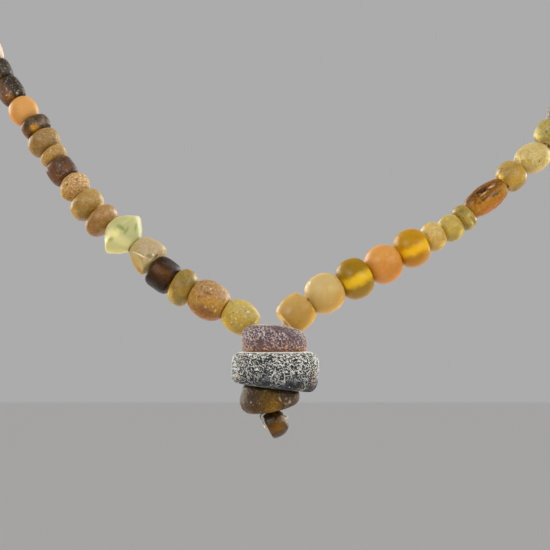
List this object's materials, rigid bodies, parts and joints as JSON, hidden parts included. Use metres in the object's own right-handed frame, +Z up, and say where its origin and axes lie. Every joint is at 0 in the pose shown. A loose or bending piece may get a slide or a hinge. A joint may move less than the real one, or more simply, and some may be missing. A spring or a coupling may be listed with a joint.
{
  "type": "glass bead necklace",
  "caption": "Necklace of old weathered glass beads on one thread, with a short drop of stacked disc beads at the front, in the form it has when worn.",
  "frame": {"origin": "middle of the clasp at the back of the neck, on the line of the thread, where the loop hangs", "axes": "+X to the viewer's right from the front, +Z up, the front of the necklace faces -Y"},
  "size_m": [0.1679, 0.133, 0.141],
  "materials": {
    "olive_glass": "matt weathered glass, yellow-olive, slightly translucent",
    "golden_glass": "satin golden glass that glows along the hole",
    "amber_glass": "weathered amber glass with a pinkish bloom",
    "dark_brown_glass": "dark brown glass with an amber heart and a grey bloom",
    "cream_glass": "smooth cream glass, waxy",
    "peach_glass": "opaque peach glass, satin",
    "green_glass": "milky pale green glass with darker smudges",
    "tan_glass": "pitted light tan glass",
    "mauve_glass": "pitted mauve-grey weathered glass, browner at the foot",
    "grey_glass": "densely pitted grey and white weathered glass",
    "thread_fibre": "thin twisted thread",
    "clasp_brass": "plain satin brass"
  },
  "bodies": {
    "root": {"bead_left_01": "olive_glass", "bead_left_02": "amber_glass", "bead_left_03": "olive_glass", "bead_left_04": "dark_brown_glass", "bead_left_05": "tan_glass", "bead_left_06": "green_glass", "bead_left_07": "amber_glass", "bead_left_08": "olive_glass", "bead_left_09": "tan_glass", "bead_left_10": "dark_brown_glass", "bead_left_11": "olive_glass", "bead_left_12": "olive_glass", "bead_left_13": "dark_brown_glass", "bead_left_14": "peach_glass", "bead_left_15": "dark_brown_glass", "bead_left_16": "dark_brown_glass", "bead_left_17": "cream_glass", "bead_right_01": "cream_glass", "bead_right_02": "cream_glass", "bead_right_03": "golden_glass", "bead_right_04": "peach_glass", "bead_right_05": "golden_glass", "bead_right_06": "cream_glass", "bead_right_07": "cream_glass", "bead_right_08": "olive_glass", "bead_right_09": "amber_glass", "bead_right_10": "olive_glass", "bead_right_11": "cream_glass", "bead_right_12": "olive_glass", "bead_right_13": "tan_glass", "drop_bead_mauve": "mauve_glass", "drop_bead_grey": "grey_glass", "drop_bead_brown": "dark_brown_glass", "drop_bead_stop": "dark_brown_glass", "knot": "thread_fibre", "thread": "thread_fibre", "back_beads_left": "tan_glass", "back_beads_right": "tan_glass", "clasp": "clasp_brass"}
  },
  "joints": []
}
